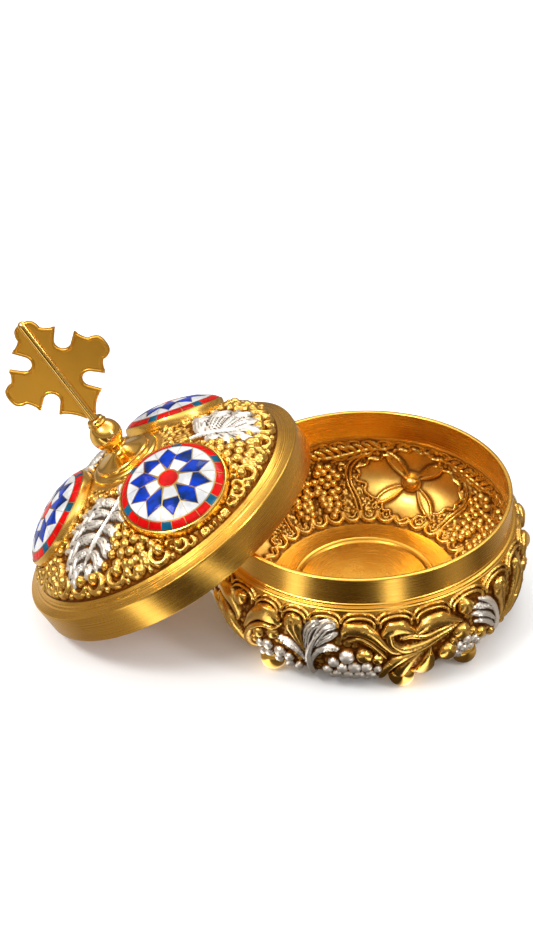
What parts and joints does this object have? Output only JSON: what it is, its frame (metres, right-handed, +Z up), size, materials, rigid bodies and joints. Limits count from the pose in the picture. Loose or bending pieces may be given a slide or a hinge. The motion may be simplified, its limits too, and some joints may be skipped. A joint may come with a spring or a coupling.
{
  "type": "incense box",
  "caption": "Footed round gilt brass box with carved bowl, domed lid leaning beside it, enamel medallions and a cross finial, for holding incense",
  "frame": {"origin": "on the ground, at the middle of the whole object's box", "axes": "+Z up, the lid leans on the -X side of the bowl, -Y is the side the picture shows"},
  "size_m": [0.1726, 0.1152, 0.1055],
  "materials": {
    "gilt_brass": "satin, gilt",
    "polished_brass": "polished",
    "enamel": "glossy enamel on a brass disc"
  },
  "bodies": {
    "root": {"bowl": "gilt_brass", "foot_1": "polished_brass", "foot_2": "polished_brass", "foot_3": "polished_brass", "foot_4": "polished_brass", "foot_5": "polished_brass", "foot_6": "polished_brass", "lid": "gilt_brass", "medallion_1": "enamel", "medallion_2": "enamel", "medallion_3": "enamel", "finial": "polished_brass", "cross": "gilt_brass"}
  },
  "joints": []
}
